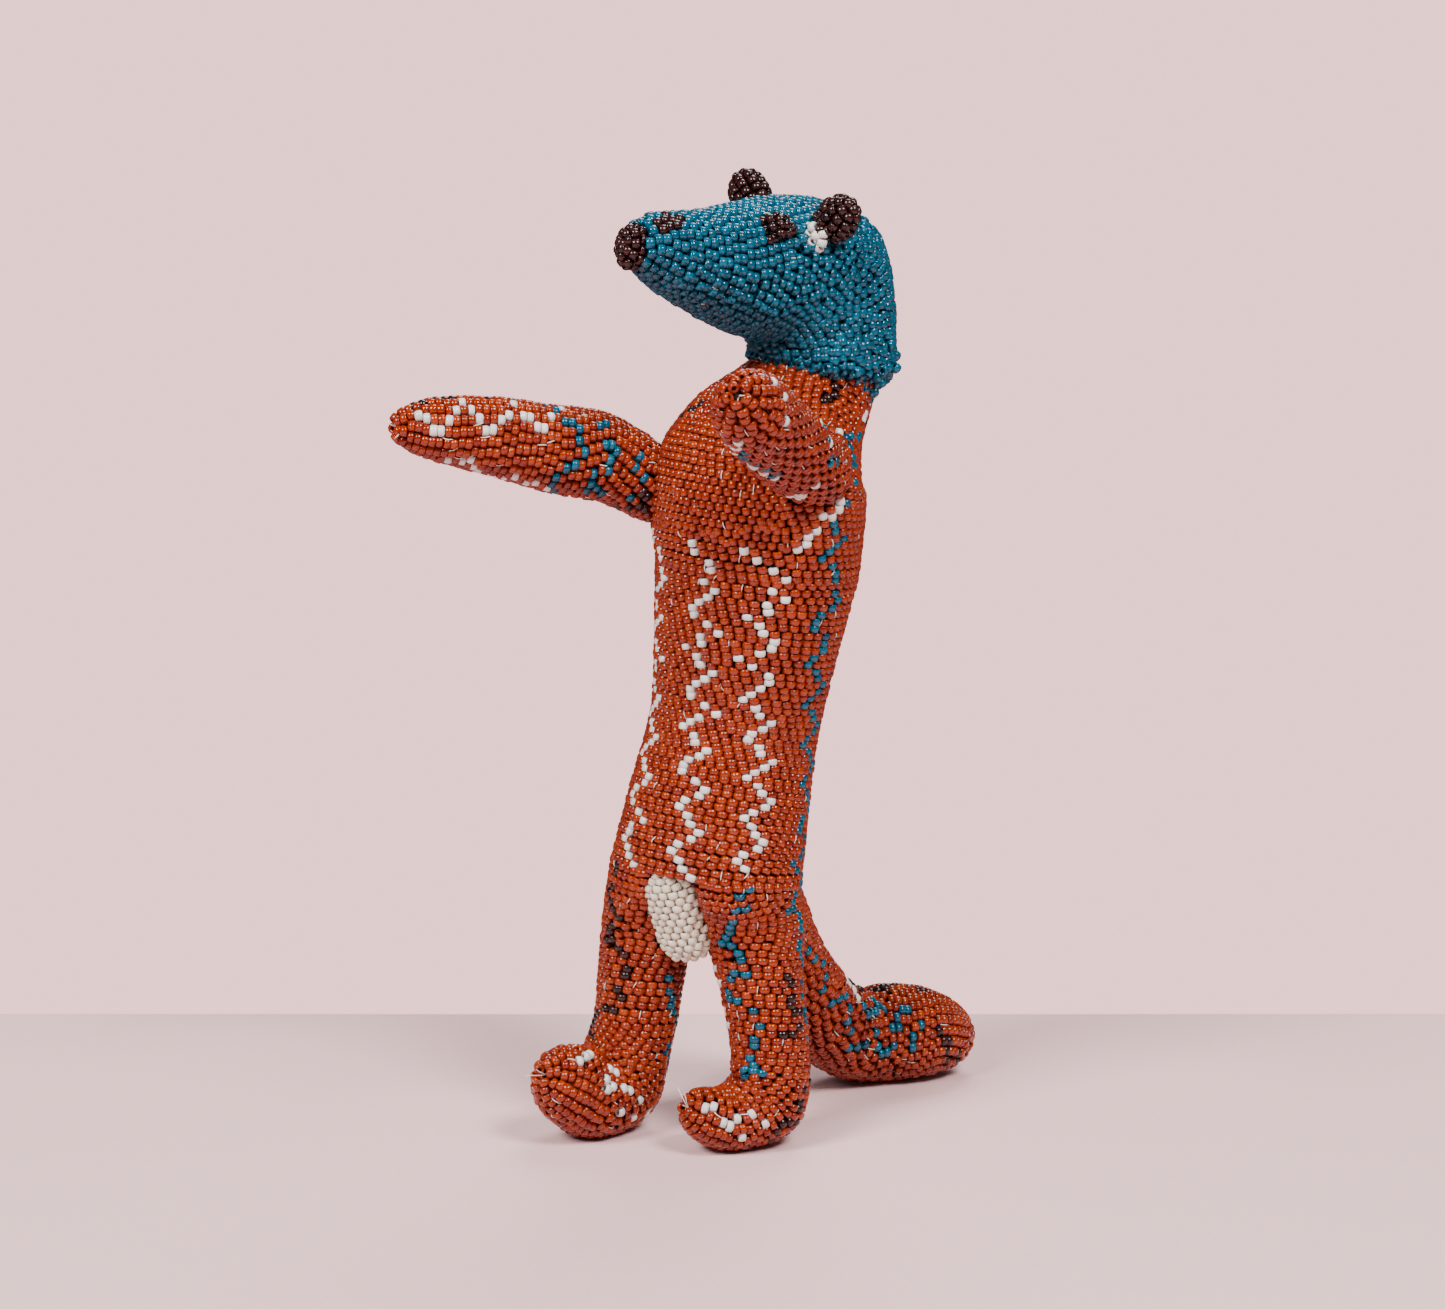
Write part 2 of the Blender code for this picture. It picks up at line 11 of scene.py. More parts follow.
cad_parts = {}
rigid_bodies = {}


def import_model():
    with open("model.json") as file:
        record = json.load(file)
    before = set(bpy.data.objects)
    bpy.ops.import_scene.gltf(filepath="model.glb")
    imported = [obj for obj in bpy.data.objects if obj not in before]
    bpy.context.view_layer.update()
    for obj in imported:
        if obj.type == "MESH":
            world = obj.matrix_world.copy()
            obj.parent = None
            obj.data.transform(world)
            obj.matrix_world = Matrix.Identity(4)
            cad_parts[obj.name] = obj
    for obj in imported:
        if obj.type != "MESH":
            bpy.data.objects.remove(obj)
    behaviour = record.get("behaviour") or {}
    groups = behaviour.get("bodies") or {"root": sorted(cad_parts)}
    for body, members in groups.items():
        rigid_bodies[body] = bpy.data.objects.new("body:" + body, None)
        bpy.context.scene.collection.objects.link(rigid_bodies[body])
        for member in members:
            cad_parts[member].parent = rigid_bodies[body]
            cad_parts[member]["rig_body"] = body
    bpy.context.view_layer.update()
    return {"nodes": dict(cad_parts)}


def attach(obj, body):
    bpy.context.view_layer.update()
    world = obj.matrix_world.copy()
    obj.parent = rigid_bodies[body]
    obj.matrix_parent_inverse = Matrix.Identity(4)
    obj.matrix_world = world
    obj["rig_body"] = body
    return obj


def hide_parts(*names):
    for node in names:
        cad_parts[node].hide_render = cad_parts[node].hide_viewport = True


# The visual model of a standing beaded animal figure. Shapes are worked out in millimetres, and become
# metres when a mesh is made. +X is the figure's left and -Y its front.
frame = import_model()
CHANCE = np.random.default_rng(7)


# ---- Finishes
# The figure is made of opaque glass beads, each a little lighter or darker than the next, cotton cloth,
# thread and soft wire. Each finish is one material.
class Number:
    """A number or colour in a shader, so that its maths reads as an expression."""

    def __init__(self, tree, socket):
        self.tree, self.socket = tree, socket

    def maths(self, operation, other):
        return node(self.tree, "Math", {0: self, 1: other}, operation=operation)

    def __add__(self, other):
        return self.maths("ADD", other)

    def __sub__(self, other):
        return self.maths("SUBTRACT", other)

    def __mul__(self, other):
        return self.maths("MULTIPLY", other)


def node(tree, kind, inputs, out=0, **settings):
    """Adds one shader node. An input that is a Number is linked, and any other value is set."""
    made = tree.nodes.new(f"ShaderNode{kind}")
    for name, value in settings.items():
        setattr(made, name, value)
    for name, value in inputs.items():
        if isinstance(value, Number):
            tree.links.new(value.socket, made.inputs[name])
        else:
            made.inputs[name].default_value = value
    return Number(tree, made.outputs[out])


def blend_of(tree, share, first, second):
    """A colour between two, by a share from 0 to 1."""
    return node(tree, "Mix", {0: share, 6: (*first, 1), 7: (*second, 1)}, out=2, data_type="RGBA")


def new_finish(name, **constants):
    """A material with these values on its shader, its tree, and a function that links an input."""
    made = bpy.data.materials.new(name)
    made.use_nodes = True
    shader = made.node_tree.nodes["Principled BSDF"]
    for socket, value in constants.items():
        shader.inputs[socket.replace("_", " ")].default_value = value

    def feed(socket, number):
        made.node_tree.links.new(number.socket, shader.inputs[socket])

    return made, made.node_tree, feed


def bead_finish(name, dark, light, roughness, coat):
    made, tree, feed = new_finish(name, Coat_Weight=coat, Coat_Roughness=0.04, Specular_IOR_Level=0.40)
    tint = node(tree, "Attribute", {}, out="Fac", attribute_name="tint")
    feed("Base Color", blend_of(tree, tint, dark, light))
    place = node(tree, "TexCoord", {}, out="Object")
    grain = node(tree, "TexNoise", {"Vector": place, "Scale": 900.0, "Detail": 1.0})
    feed("Roughness", grain * 0.07 + roughness)
    feed("Normal", node(tree, "Bump", {"Height": grain, "Strength": 0.12, "Distance": 0.0003}))
    return made


def cloth_finish(name, dark, light, scale):
    """Plain-woven cotton: two crossed sets of ribs, with a fine grain over them."""
    made, tree, feed = new_finish(name, Roughness=0.95, Sheen_Weight=0.2)
    place = node(tree, "TexCoord", {}, out="Object")
    warp = node(tree, "TexWave", {"Vector": place, "Scale": scale}, out="Fac", bands_direction="Z")
    weft = node(tree, "TexWave", {"Vector": place, "Scale": scale}, out="Fac", bands_direction="X")
    grain = node(tree, "TexNoise", {"Vector": place, "Scale": scale * 2}, out="Fac")
    weave = (warp + weft) * 0.3 + grain * 0.4
    feed("Base Color", blend_of(tree, weave, dark, light))
    feed("Normal", node(tree, "Bump", {"Height": weave, "Strength": 0.5, "Distance": 0.0002}))
    return made


FINISH = {
    "orange": bead_finish("orange_glass", (0.150, 0.0062, 0.0), (0.30, 0.0265, 0.0), 0.07, 0.12),
    "teal": bead_finish("teal_glass", (0.0, 0.040, 0.074), (0.0, 0.100, 0.168), 0.06, 0.08),
    "brown": bead_finish("brown_glass", (0.012, 0.002, 0.002), (0.030, 0.005, 0.004), 0.17, 0.0),
    "white": bead_finish("pearl_glass", (0.56, 0.52, 0.48), (0.74, 0.70, 0.66), 0.12, 0.35),
    "cream": bead_finish("cream_glass", (0.66, 0.60, 0.46), (0.80, 0.75, 0.61), 0.20, 0.3),
}
CLOTH = cloth_finish("dyed_cotton", (0.10, 0.018, 0.010), (0.20, 0.040, 0.022), 2600.0)
BLUE_CLOTH = cloth_finish("dyed_blue_cotton", (0.004, 0.05, 0.075), (0.010, 0.09, 0.13), 2600.0)
THREAD, thread_tree, feed_thread = new_finish("waxed_thread", Roughness=0.55, Sheen_Weight=0.15)
place = node(thread_tree, "TexCoord", {}, out="Object")
fibre = node(thread_tree, "TexNoise", {"Vector": place, "Scale": 2500.0}, out="Fac")
feed_thread("Base Color", blend_of(thread_tree, fibre, (0.62, 0.56, 0.50), (0.85, 0.80, 0.74)))
WIRE, wire_tree, feed_wire = new_finish("soft_wire", Base_Color=(0.35, 0.34, 0.33, 1), Metallic=1.0)
place = node(wire_tree, "TexCoord", {}, out="Object")
wear = node(wire_tree, "TexNoise", {"Vector": place, "Scale": 800.0}, out="Fac")
feed_wire("Roughness", wear * 0.3 + 0.35)


# ---- One seed bead
# A bead is a rounded ring of glass, cut from a drawn tube. This one has its bore along z, a radius of 1
# and a half length of 1, and is stretched when it is laid.
BEAD_WIDTH, BEAD_LENGTH = 2.2, 1.46  # of the usual bead, across and along its bore
BEAD_SIDES = 10
UPPER_PROFILE = [(0.40, 0.72), (0.68, 1.0), (0.95, 0.76)]  # radius and height, from the bore to the belly
LOWER_PROFILE = [(radius, -height) for radius, height in reversed(UPPER_PROFILE)]
BEAD_PROFILE = [*UPPER_PROFILE, (1.0, 0.0), *LOWER_PROFILE]
bm = bmesh.new()
loop = [bm.verts.new((radius, 0, height)) for radius, height in BEAD_PROFILE]
rim = [bm.edges.new((a, b)) for a, b in zip(loop, loop[1:] + loop[:1])]
bmesh.ops.spin(bm, geom=loop + rim, axis=(0, 0, 1), cent=(0, 0, 0), steps=BEAD_SIDES, angle=2 * math.pi)
bmesh.ops.remove_doubles(bm, verts=bm.verts, dist=0.001)
bmesh.ops.recalc_face_normals(bm, faces=bm.faces)
BEAD_POINTS = np.array([vert.co for vert in bm.verts])
BEAD_FACES = np.array([[vert.index for vert in face.verts] for face in bm.faces])
bm.free()
MOST_BEADS = 1350  # in one piece, which keeps it under 200,000 triangles


# ---- Sleeves
# A skin is stitched in the round, so it is a smooth tube of elliptic sections. A sleeve is such a tube,
# with many fine sections between the few that are given.
STANCE = Vector((11.38, -6.1, 0.0))  # moves every sleeve to where the figure stands
WALL = 2.1  # how thick a skin is
FINE = 14  # fine sections between two given ones


def sections_of(points, normals, acrosses, sizes):
    """Rows of numbers, one for each section: its centre, normal, width direction, and half sizes."""
    return [[value for part in row for value in part] for row in zip(points, normals, acrosses, sizes)]


def level(turn):
    return Vector((math.cos(math.radians(turn)), math.sin(math.radians(turn)), 0.0))


def square_to_path(points, turns, sizes):
    """Sections square to the path through the points."""
    ends = [points[0], *points, points[-1]]
    ahead = [(after - before).normalized() for before, after in zip(ends, ends[2:])]
    return sections_of(points, ahead, [level(turn) for turn in turns], sizes)


def sleeve(sections):
    """Centres, the two radius vectors of each fine section, and its normals, in millimetres."""
    rows = np.array([sections[0], *sections, sections[-1]], float)
    t = (np.arange(FINE) / FINE)[:, None]
    fine = []
    for a, b, c, d in zip(rows, rows[1:], rows[2:], rows[3:]):
        square, cube = 2 * a - 5 * b + 4 * c - d, 3 * b - a - 3 * c + d
        fine.append((2 * b + (c - a) * t + square * t**2 + cube * t**3) / 2)
    fine = np.vstack([*fine, rows[-1:]])
    normal = fine[:, 3:6] / np.linalg.norm(fine[:, 3:6], axis=1)[:, None]
    across = fine[:, 6:9] - (fine[:, 6:9] * normal).sum(1)[:, None] * normal
    across /= np.linalg.norm(across, axis=1)[:, None]
    return fine[:, :3] + np.array(STANCE), across * fine[:, 9:10], np.cross(normal, across) * fine[:, 10:11]


def wall_points(tube, angles):
    """Points on the sleeve's outside: a row for each fine section, and a column for each angle."""
    centre, across, depth = tube
    turn = np.radians(angles)[None, :, None]
    return centre[:, None] + across[:, None] * np.cos(turn) + depth[:, None] * np.sin(turn)


# ---- Laying beads
# Rings of beads run round a sleeve, bores along it. Rings go in pairs, and each pair is shifted half a
# bead from the last, as in two-drop stitch. Where a bend crowds them, a ring skips a bead.
class Beads:
    """Beads in rows of arrays: place, bore direction, outward direction, radius, half length and so on."""

    def __init__(self, **columns):
        self.columns = columns
        self.colour = columns.pop("colour")

    def __getattr__(self, name):
        return self.__dict__["columns"][name]

    def only(self, keep):
        kept = {name: values[keep] for name, values in self.columns.items()}
        return Beads(colour=self.colour[keep], **kept)


def unit(vectors):
    return vectors / np.maximum(np.linalg.norm(vectors, axis=-1), 1e-9)[..., None]


def lay(tube, colour, width=BEAD_WIDTH, length=BEAD_LENGTH, start=-90.0, drop=2, crowd=0.76,
        depth=WALL / 2, last=1.2):
    """Beads all over a sleeve. Start is where columns line up, and last is the narrowest ring's radius.

    Drop is the number of rings between shifts, crowd the share of a length below which a bead is skipped,
    and depth how far under the sleeve's outside the beads' middles lie.
    """
    angles = np.arange(0.0, 360.0, 3.0) + start
    wall = wall_points(tube, angles)
    run = np.concatenate([[0], np.cumsum(np.linalg.norm(np.diff(wall, axis=0), axis=2).max(1))])
    count = max(1, round(run[-1] / length))
    found, recent, around = [], [], 0
    for ring in range(count):
        at = np.interp((ring + 0.5) * run[-1] / count, run, np.arange(len(run)))
        low = min(int(at), len(wall) - 2)
        points = wall[low] + (wall[low + 1] - wall[low]) * (at - low)
        ahead = unit(wall[min(low + 2, len(wall) - 1)] - wall[max(low - 1, 0)])
        centre = points.mean(0)
        inward = unit(centre - points)
        points = points + inward * depth
        sides = np.linalg.norm(np.roll(points, -1, 0) - points, axis=1)
        girth = sides.sum()
        if girth < 2 * math.pi * last:
            continue
        if not 0.95 < girth / max(around, 1) / width < 1.06:
            around = max(3, round(girth / width))
        shift = 0.5 * ((ring // drop) % 2)
        spread = CHANCE.normal(0, 0.035, around)
        spots = ((np.arange(around) + shift + spread) % around) / around * girth
        column = np.interp(spots, np.concatenate([[0], np.cumsum(sides)]), np.arange(len(points) + 1))
        lower = column.astype(int) % len(points)
        part = (column - column.astype(int))[:, None]
        upper = (lower + 1) % len(points)
        where = points[lower] * (1 - part) + points[upper] * part
        bore = unit(ahead[lower] * (1 - part) + ahead[upper] * part)
        round_way = unit(points[upper] - points[lower])
        out = unit(np.cross(round_way, bore))
        out *= np.sign((out * (where - centre)).sum(1))[:, None]
        where = where + out * CHANCE.normal(0, 0.06, around)[:, None]
        keep = np.ones(around, bool)
        if recent:
            before = np.vstack(recent)
            gaps = np.linalg.norm(where[:, None] - before[None], axis=2).min(1)
            keep = gaps > crowd * length
        recent = [*recent[-2:], where[keep]] if keep.any() else recent
        facing = (angles[lower] + 3.0 * part[:, 0] + 180) % 360 - 180
        along = run[-1] * (ring + 0.5) / count
        found.append((where[keep], bore[keep], out[keep], facing[keep], ring, along, around))
    size = [len(item[0]) for item in found]
    total = sum(size)
    tilt = CHANCE.normal(0, 0.06, (total, 3))
    return Beads(
        place=np.vstack([item[0] for item in found]),
        bore=unit(np.vstack([item[1] for item in found]) + tilt),
        out=np.vstack([item[2] for item in found]),
        angle=np.concatenate([item[3] for item in found]),
        ring=np.repeat([item[4] for item in found], size),
        along=np.repeat([item[5] for item in found], size),
        pitch=np.repeat([360.0 / item[6] for item in found], size),
        radius=width / 2 * np.clip(CHANCE.normal(1.01, 0.03, total), 0.92, 1.07),
        half=length / 2 * np.clip(CHANCE.normal(0.985, 0.05, total), 0.86, 1.08),
        colour=np.full(total, colour, dtype="U8"),
    )


def settle(beads, width, length, rounds=14):
    """Lets crowded beads push their neighbours along the skin, which closes the gaps that a bend leaves."""
    total = len(beads.place)
    finder = KDTree(total)
    for index, spot in enumerate(beads.place):
        finder.insert(spot, index)
    finder.balance()
    near = 3.4  # beads further off don't touch
    pairs = [
        (index, other)
        for index, spot in enumerate(beads.place)
        for _, other, _ in finder.find_range(spot, near)
        if other > index
    ]
    first, second = np.array(pairs).T
    bore = unit(beads.bore[first] + beads.bore[second])
    place = beads.place.copy()
    for _ in range(rounds):
        gap = place[second] - place[first]
        rise = (gap * bore).sum(1)
        beside = np.linalg.norm(gap - rise[:, None] * bore, axis=1)
        close = np.maximum(abs(rise) / length, beside / width)
        push = unit(gap) * (np.clip(1.0 - close, 0, 0.5) * 0.36)[:, None]
        move = np.zeros_like(place)
        np.add.at(move, first, -push)
        np.add.at(move, second, push)
        move -= (move * beads.out).sum(1)[:, None] * beads.out
        place += np.clip(move, -0.15, 0.15)
    beads.columns["place"] = place
    return beads


def lay_close(tube, colour, width=BEAD_WIDTH, length=BEAD_LENGTH, start=-90.0):
    """Beads all over a sleeve that bends, settled."""
    return settle(lay(tube, colour, width, length, start), width, length)


def tree_of(name):
    """A search tree of a CAD node, whose points are in metres."""
    mesh = frame["nodes"][name].data
    return BVHTree.FromPolygons([v.co for v in mesh.vertices], [p.vertices for p in mesh.polygons])


def on_skin(beads, name, reach=1.12):
    """The beads that lie in the wall of a CAD skin, which is cut away where another piece comes through."""
    tree = tree_of(name)
    near = [tree.find_nearest(Vector(spot) * 0.001)[3] * 1000 for spot in beads.place]
    return beads.only(np.array(near) < reach)


def clear_of(beads, name, room=0.5):
    """The beads that lie outside a CAD pad, and not nearer to it than the room."""
    tree = tree_of(name)
    keep = []
    for spot in beads.place:
        near, normal, _, _ = tree.find_nearest(Vector(spot) * 0.001)
        keep.append((Vector(spot) * 0.001 - near).dot(normal) > room * 0.001)
    return beads.only(np.array(keep))


def apart(beads, others, room):
    """The beads that lie at least the room from every one of the others."""
    finder = KDTree(len(others.place))
    for index, spot in enumerate(others.place):
        finder.insert(spot, index)
    finder.balance()
    return beads.only(np.array([finder.find(spot)[2] >= room for spot in beads.place]))


def fill(beads, spares, room=1.3):
    """Adds those spare beads that fall in holes, at least the room from every bead already there."""
    found = apart(spares, beads, room)
    columns = {name: np.concatenate([old, found.columns[name]]) for name, old in beads.columns.items()}
    return Beads(colour=np.concatenate([beads.colour, found.colour]), **columns)


# ---- Patterns
# The maker changes colour bead by bead. A pattern is written on a sleeve by the distance along it, in
# millimetres, and the angle round it, in degrees.
def zigzag(beads, colour, knots, swing=1.2, period=6):
    """In each ring, the bead nearest to a line that swings either side of the knots' path."""
    for ring in np.unique(beads.ring):
        rows = np.flatnonzero(beads.ring == ring)
        along = beads.along[rows[0]]
        if not knots[0][0] <= along <= knots[-1][0]:
            continue
        step = beads.pitch[rows[0]]
        wave = abs((ring / period) % 1.0 * 4 - 2) - 1
        aim = np.interp(along, *zip(*knots)) + swing * step * wave
        off = abs((beads.angle[rows] - aim + 180) % 360 - 180)
        if off.min() < 0.75 * step:
            beads.colour[rows[off.argmin()]] = colour


def line(beads, colour, *knots, swing=1.3, step=1.9):
    """A zigzag line of single beads that runs any way over a sleeve, through knots of (along, angle)."""
    across = BEAD_WIDTH / beads.pitch.mean()
    points = np.array(knots, float) * (1, across)
    runs = np.linalg.norm(np.diff(points, axis=0), axis=1)
    reach = np.concatenate([[0], np.cumsum(runs)])
    for number, at in enumerate(np.arange(0, reach[-1] + 0.1, step)):
        part = min(np.searchsorted(reach, at, side="right"), len(runs)) - 1
        way = (points[part + 1] - points[part]) / runs[part]
        wave = swing * (1 - abs(number % 6 - 3) / 1.5)
        aim = points[part] + way * (at - reach[part]) + np.array([-way[1], way[0]]) * wave
        turn = abs((beads.angle - aim[1] / across + 180) % 360 - 180) * across
        beads.colour[np.hypot(turn, beads.along - aim[0]).argmin()] = colour


def spot(beads, colour, *spots):
    """Single beads, each the nearest to its (along, angle)."""
    for along, angle in spots:
        off = abs((beads.angle - angle + 180) % 360 - 180) / beads.pitch * BEAD_WIDTH
        beads.colour[np.hypot(off, beads.along - along).argmin()] = colour


def patch(beads, colour, centre, reach):
    """The beads within reach of a point."""
    near = np.linalg.norm(beads.place - np.array(centre), axis=1) < reach
    beads.colour[near] = colour


# ---- Making pieces
# Each piece holds the beads of one colour on one skin, with that colour's material. A colour with very
# many beads on a skin takes several pieces.
def mesh_piece(name, points, faces, material, tint=None):
    """A mesh of equal-sided faces, from millimetre points."""
    mesh = bpy.data.meshes.new(name)
    mesh.vertices.add(len(points))
    mesh.vertices.foreach_set("co", (points * 0.001).astype(np.float32).ravel())
    mesh.loops.add(faces.size)
    mesh.loops.foreach_set("vertex_index", faces.astype(np.int32).ravel())
    mesh.polygons.add(len(faces))
    mesh.polygons.foreach_set("loop_start", np.arange(0, faces.size, faces.shape[1], dtype=np.int32))
    mesh.update(calc_edges=True)
    mesh.validate()
    mesh.shade_smooth()
    mesh.materials.append(material)
    if tint is not None:
        mesh.attributes.new("tint", "FLOAT", "POINT").data.foreach_set("value", tint.astype(np.float32))
    thing = bpy.data.objects.new(name, mesh)
    bpy.context.scene.collection.objects.link(thing)
    return thing


def string_up(name, beads, body, *nodes):
    """Makes the beads' pieces, which ride on a body and stand for the CAD nodes."""
    for colour in sorted(set(beads.colour)):
        rows = np.flatnonzero(beads.colour == colour)
        parts = math.ceil(len(rows) / MOST_BEADS)
        for number, chosen in enumerate(np.array_split(rows, parts), 1):
            some = beads.only(chosen)
            out = unit(some.out - (some.out * some.bore).sum(1)[:, None] * some.bore)
            basis = np.stack([np.cross(out, some.bore), out, some.bore], axis=2)
            stretch = np.stack([some.radius, some.radius, some.half], axis=1)
            place = some.place.copy()
            place[:, 2] = np.maximum(place[:, 2], some.radius + 0.02)
            local = BEAD_POINTS[None] * stretch[:, None]
            points = place[:, None] + np.einsum("nij,nvj->nvi", basis, local)
            faces = BEAD_FACES[None] + (np.arange(len(chosen)) * len(BEAD_POINTS))[:, None, None]
            tint = np.repeat(np.clip(CHANCE.normal(0.48, 0.19, len(chosen)), 0, 1), len(BEAD_POINTS))
            label = f"{name}_{colour}_beads" + (f"_{number}" if parts > 1 else "")
            flat = points.reshape(-1, 3)
            piece = mesh_piece(label, flat, faces.reshape(-1, faces.shape[2]), FINISH[colour], tint)
            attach(piece, body)
            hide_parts(*nodes)


def pad_sleeve(centre, axes, sizes, low=-0.9, blunt=2):
    """An egg shape as a sleeve from its underside to its top, along the last axis. Blunter is squarer."""
    heights = np.linspace(low, 0.98, 8)
    along, side, out = (axis.normalized() for axis in axes)
    rows = []
    for height in heights:
        reach = (1 - abs(height) ** blunt) ** (1 / blunt)
        rows.append([*(centre + out * height * sizes[2]), *out, *along, sizes[0] * reach, sizes[1] * reach])
    return sleeve(rows)


# ---- Thread
# Waxed white thread holds the beads. It shows in the slits between them, and short cut tails of it are
# left where a skin closes.
THREAD_RADIUS = 0.10


def thread_piece(name, runs, body):
    """Thin tubes with pointed ends along many short runs of points."""
    ahead = unit(np.gradient(runs, axis=1))
    side = unit(np.cross(ahead, np.array([0.32, 0.48, 0.82])))
    turn = (np.arange(5) * 2 * math.pi / 5)[:, None]
    taper = np.minimum(np.linspace(0, 8, runs.shape[1]), np.linspace(8, 0, runs.shape[1])).clip(0.05, 1)
    ring = np.cos(turn) * side[:, :, None] + np.sin(turn) * np.cross(side, ahead)[:, :, None]
    points = runs[:, :, None] + ring * THREAD_RADIUS * taper[None, :, None, None]
    points[..., 2] = points[..., 2].clip(0.02)
    start = np.arange(len(runs) * runs.shape[1]).reshape(len(runs), -1)[:, :-1].reshape(-1, 1) * 5
    step, after = np.arange(5)[None], (np.arange(5)[None] + 1) % 5
    faces = np.stack([start + step, start + after, start + after + 5, start + step + 5], axis=2)
    piece = mesh_piece(name, points.reshape(-1, 3), faces.reshape(-1, 4), THREAD)
    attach(piece, body)


def stitches(name, beads, body, share=0.05):
    """Short visible runs of thread, each beside a bead."""
    some = beads.only(CHANCE.random(len(beads.place)) < share)
    reach = np.linspace(-1.15, 1.15, 7)[None, :, None]
    beside = np.cross(some.out, some.bore) * np.where(CHANCE.random(len(some.place)) < 0.5, -1, 1)[:, None]
    lean = beside * CHANCE.normal(0, 0.30, len(some.place))[:, None]
    middle = some.place + beside * 1.08 + some.out * 0.62
    runs = middle[:, None] + (some.bore + lean)[:, None] * reach - some.out[:, None] * reach**2 * 0.45
    thread_piece(f"{name}_stitches", runs, body)


def thread_tails(name, beads, body, count=3):
    """Cut ends of thread that curl out of the hole where a sleeve closes."""
    tip = beads.place[beads.ring == beads.ring.max()].mean(0)
    before = beads.place[beads.ring == beads.ring.max() - 4].mean(0)
    t = np.linspace(0, 1, 9)[None, :, None]
    way = unit(unit(tip - before) + CHANCE.normal(0, 0.45, (count, 3)))[:, None]
    way = way * CHANCE.uniform(2.0, 4.2, (count, 1, 1))
    curl = CHANCE.normal(0, 1.6, (count, 1, 3))
    thread_piece(f"{name}_thread_tails", tip - unit(tip - before) * 0.8 + way * t + curl * t**2, body)


# ---- Torso sleeve
# The belly, shoulders and neck are one tube, in two skins. It is cut square to its axis at the hips, and
# the neck runs up into the hood. A row holds x, y, z, the two half sizes and the turn in degrees.
HIP = Vector((-4.2, 1.5, 52.0))
HIP_NORMAL = Vector((0.08, 0.10, 1.0)).normalized()
SIDEWAYS = Vector((1, 0, 0))
HIP_ACROSS = HIP_NORMAL.cross(SIDEWAYS).cross(HIP_NORMAL)
HIP_HALF_WIDTH, HIP_HALF_DEPTH = 19.4, 16.2
NECK = Vector((10.6, 21.6, 149.4))
NECK_AXIS = Vector((0.06, 0.30, 0.95)).normalized()
TORSO = [
    (*HIP, HIP_HALF_WIDTH, HIP_HALF_DEPTH, 0),
    (-2.8, 4.8, 66.0, 17.9, 15.6, 8),
    (-1.0, 7.7, 80.6, 16.9, 15.2, 5),
    (0.9, 8.3, 95.0, 18.3, 16.2, 0),
    (2.8, 9.7, 111.0, 20.5, 17.8, -4),
    (3.2, 9.4, 126.0, 22.0, 19.2, -10),
    (5.2, 12.7, 134.5, 19.3, 17.2, -15),
    (8.0, 17.5, 141.0, 14.7, 14.0, -18),
    (9.8, 20.5, 145.8, 12.5, 12.4, -20),
    (*(NECK - NECK_AXIS * 0.35), 11.9, 11.9, -20),
    (*(NECK + NECK_AXIS * 3.0), 11.9, 11.9, -20),
]
torso_points = [Vector(row[:3]) for row in TORSO]
torso = square_to_path(torso_points, [row[5] for row in TORSO], [row[3:5] for row in TORSO])
torso[0][3:6] = HIP_NORMAL
torso[-2][3:6] = torso[-1][3:6] = NECK_AXIS

# ---- Legs
# Each leg is a stuffed sleeve that turns forward at the ankle into a foot, and closes in a small gathered
# hole. A row holds x, y, z, the half width, the half depth, the turn, and how far it pitches forward.
HIP_SPACING = 9.75


def leg_sections(direction, rows):
    top = HIP - HIP_NORMAL * 0.2 + HIP_ACROSS * HIP_SPACING * direction
    size = (HIP_SPACING - 0.3, 15.4)
    made = [[*(top - HIP_NORMAL * drop), *-HIP_NORMAL, *HIP_ACROSS, *size] for drop in (0.0, 2.0)]
    for x, y, z, wide, deep, turn, pitch in rows:
        side = level(turn)
        forward = Vector((side.y, -side.x, 0.0))
        tilt = math.radians(pitch)
        normal = Vector((0, 0, -math.cos(tilt))) + forward * math.sin(tilt)
        made.append([x, y, z, *normal, *side, wide, deep])
    return made


LEFT_LEG = [
    (5.9, 1.6, 43.0, 9.8, 11.8, -6, 3),
    (7.6, -0.2, 34.0, 8.9, 9.0, -16, 10),
    (10.2, -1.8, 24.0, 8.1, 8.1, -30, 8),
    (11.7, -3.0, 15.6, 7.7, 8.0, -40, 12),
    (11.4, -4.7, 9.4, 7.9, 8.6, -42, 45),
    (8.2, -8.0, 7.1, 7.8, 7.4, -42, 78),
    (5.6, -10.9, 6.2, 7.2, 6.4, -42, 94),
    (2.7, -14.1, 7.4, 6.2, 5.4, -42, 108),
    (1.2, -15.8, 8.7, 4.7, 4.3, -42, 112),
    (0.4, -16.7, 9.3, 2.9, 2.7, -42, 112),
    (-0.1, -17.2, 9.6, 0.8, 0.8, -42, 112),
]
RIGHT_LEG = [
    (-14.9, -0.6, 43.0, 9.2, 11.6, -4, 2),
    (-15.8, -2.8, 34.0, 8.8, 9.0, -12, 8),
    (-16.7, -4.7, 22.0, 8.4, 8.4, -20, 6),
    (-18.0, -6.0, 15.5, 8.5, 8.8, -23, 14),
    (-18.9, -7.9, 10.2, 8.6, 9.7, -23, 48),
    (-20.5, -12.0, 8.3, 8.6, 8.9, -23, 80),
    (-22.4, -16.4, 9.3, 8.5, 8.8, -23, 104),
    (-24.4, -20.8, 12.4, 7.6, 7.6, -23, 116),
    (-25.5, -23.5, 14.0, 5.5, 5.5, -23, 116),
    (-26.2, -25.0, 14.8, 3.2, 3.2, -23, 116),
    (-26.6, -25.9, 15.2, 0.8, 0.8, -23, 116),
]


